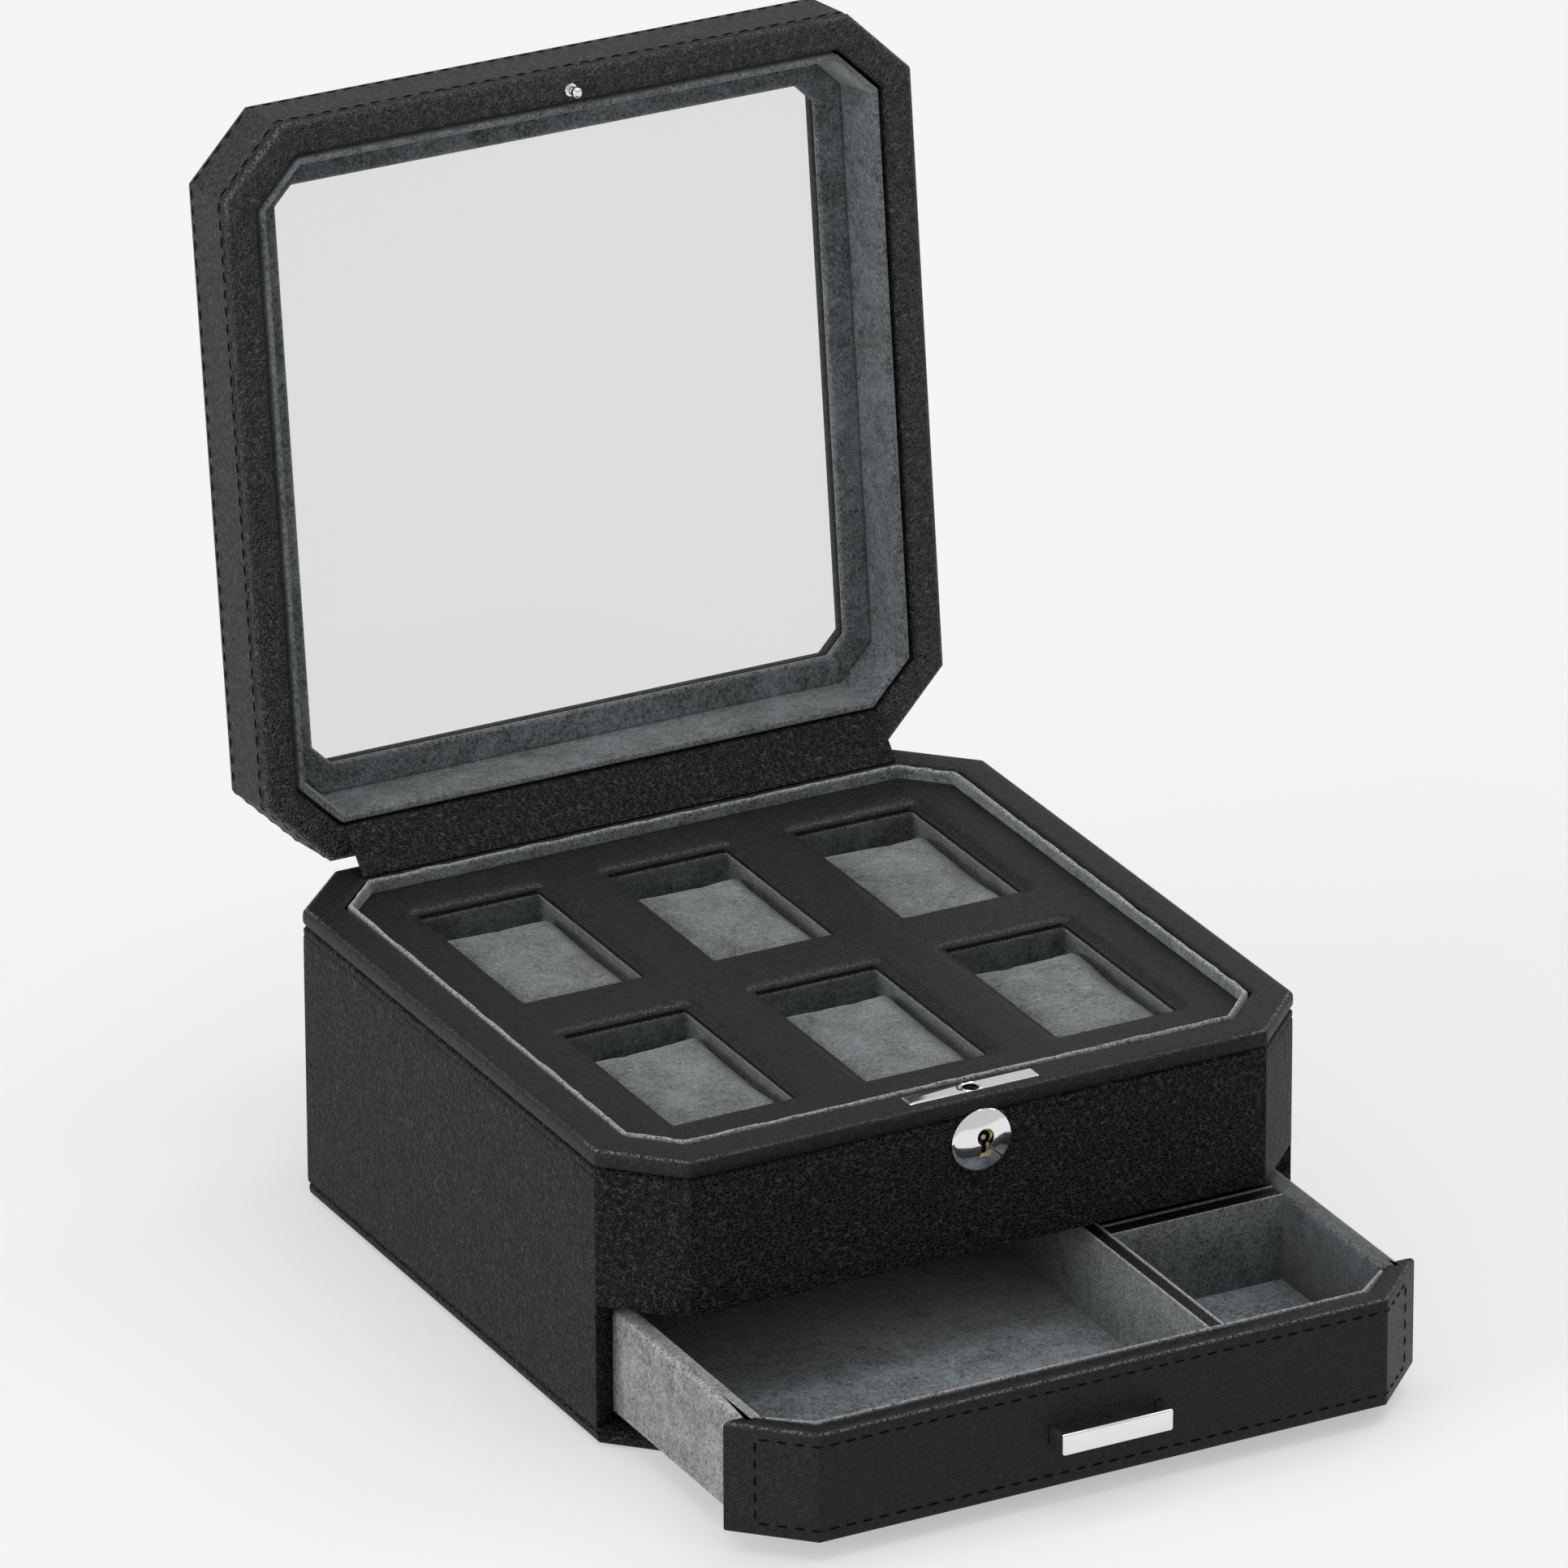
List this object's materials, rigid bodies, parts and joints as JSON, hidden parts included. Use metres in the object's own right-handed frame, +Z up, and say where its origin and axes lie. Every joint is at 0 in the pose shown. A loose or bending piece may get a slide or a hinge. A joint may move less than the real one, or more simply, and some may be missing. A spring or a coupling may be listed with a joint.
{
  "type": "watch box with drawer",
  "caption": "Eight-sided leather-covered watch box: glazed hinged lid, keyed lock, padded tray with suede wells and lift-out cushions, and a divided drawer in the base.",
  "frame": {"origin": "centre of the case's plan, at its underside", "axes": "+X to the right as seen from the front, +Y to the back, +Z up"},
  "size_m": [0.235, 0.3726, 0.3301],
  "materials": {
    "leather_black": "pebble grain, semi-matt",
    "leather_smooth": "smooth, semi-matt",
    "board_black": "black paper on fibreboard",
    "felt_black": "flocked",
    "suede_grey": "suede nap",
    "cushion_suede": "long suede nap",
    "glass": "clear float glass",
    "chrome": "polished",
    "brass": "machined",
    "steel": "plated"
  },
  "bodies": {
    "case": {"back_wall": "leather_black", "base_board": "leather_black", "base_felt": "felt_black", "bay_liner": "board_black", "escutcheon": "chrome", "front_fascia": "leather_black", "hinge_flap": "leather_black", "hinge_leaf_case_left": "steel", "hinge_leaf_case_right": "steel", "hinge_pin_left": "steel", "hinge_pin_right": "steel", "hinge_screws_case": "steel", "lock_body": "steel", "lock_screws": "steel", "middle_shelf": "board_black", "rim_cap": "leather_black", "rim_lining": "suede_grey", "side_wall_left": "leather_black", "side_wall_right": "leather_black", "strike_plate": "chrome", "tray_frame": "leather_smooth", "well_lining_1": "suede_grey", "well_lining_2": "suede_grey", "well_lining_3": "suede_grey", "well_lining_4": "suede_grey", "well_lining_5": "suede_grey", "well_lining_6": "suede_grey"},
    "lid": {"lid_rim": "leather_black", "lid_frame": "leather_black", "lid_top_frame": "leather_black", "lid_glass": "glass", "lid_ledge": "suede_grey", "lid_lining": "suede_grey", "lid_pin": "chrome", "hinge_leaf_lid_left": "steel", "hinge_leaf_lid_right": "steel", "hinge_screws_lid": "steel"},
    "drawer": {"drawer_front": "leather_black", "drawer_pull": "chrome", "pull_screws": "steel", "drawer_side_left": "suede_grey", "drawer_side_right": "suede_grey", "drawer_back": "suede_grey", "drawer_floor": "suede_grey", "drawer_lining": "suede_grey", "drawer_front_lining": "suede_grey", "long_divider": "leather_smooth", "cross_divider": "leather_smooth"},
    "tumbler": {"lock_tumbler": "brass"},
    "latch": {"latch": "steel"},
    "cushion_1": {"cushion_1": "cushion_suede"},
    "cushion_2": {"cushion_2": "cushion_suede"},
    "cushion_3": {"cushion_3": "cushion_suede"},
    "cushion_4": {"cushion_4": "cushion_suede"},
    "cushion_5": {"cushion_5": "cushion_suede"},
    "cushion_6": {"cushion_6": "cushion_suede"}
  },
  "joints": [
    {"name": "lid_hinge", "type": "hinge", "parent": "case", "child": "lid", "pos_m": [0, 0.1179, 0.09685], "axis": [-1, 0, 0], "range_deg": [-96.4, 0], "deforming": ["hinge_flap"]},
    {"name": "drawer_slide", "type": "slide", "parent": "case", "child": "drawer", "axis": [0, -1, 0], "range_m": [-0.0761, 0.0739]},
    {"name": "lock_turn", "type": "hinge", "parent": "case", "child": "tumbler", "pos_m": [0, -0.1103, 0.0824], "axis": [0, 1, 0], "range_deg": [-90, 0]},
    {"name": "latch_slide", "type": "slide", "parent": "case", "child": "latch", "axis": [1, 0, 0], "range_m": [-0.0036, 0]},
    {"name": "cushion_1_lift", "type": "slide", "parent": "case", "child": "cushion_1", "axis": [0, 0, 1], "range_m": [0, 0.052]},
    {"name": "cushion_2_lift", "type": "slide", "parent": "case", "child": "cushion_2", "axis": [0, 0, 1], "range_m": [0, 0.052]},
    {"name": "cushion_3_lift", "type": "slide", "parent": "case", "child": "cushion_3", "axis": [0, 0, 1], "range_m": [0, 0.052]},
    {"name": "cushion_4_lift", "type": "slide", "parent": "case", "child": "cushion_4", "axis": [0, 0, 1], "range_m": [0, 0.052]},
    {"name": "cushion_5_lift", "type": "slide", "parent": "case", "child": "cushion_5", "axis": [0, 0, 1], "range_m": [0, 0.052]},
    {"name": "cushion_6_lift", "type": "slide", "parent": "case", "child": "cushion_6", "axis": [0, 0, 1], "range_m": [0, 0.052]}
  ],
  "couplings": [
    {"joint": "lock_turn", "follows": "latch_slide", "rad_per_m": 436.33}
  ]
}
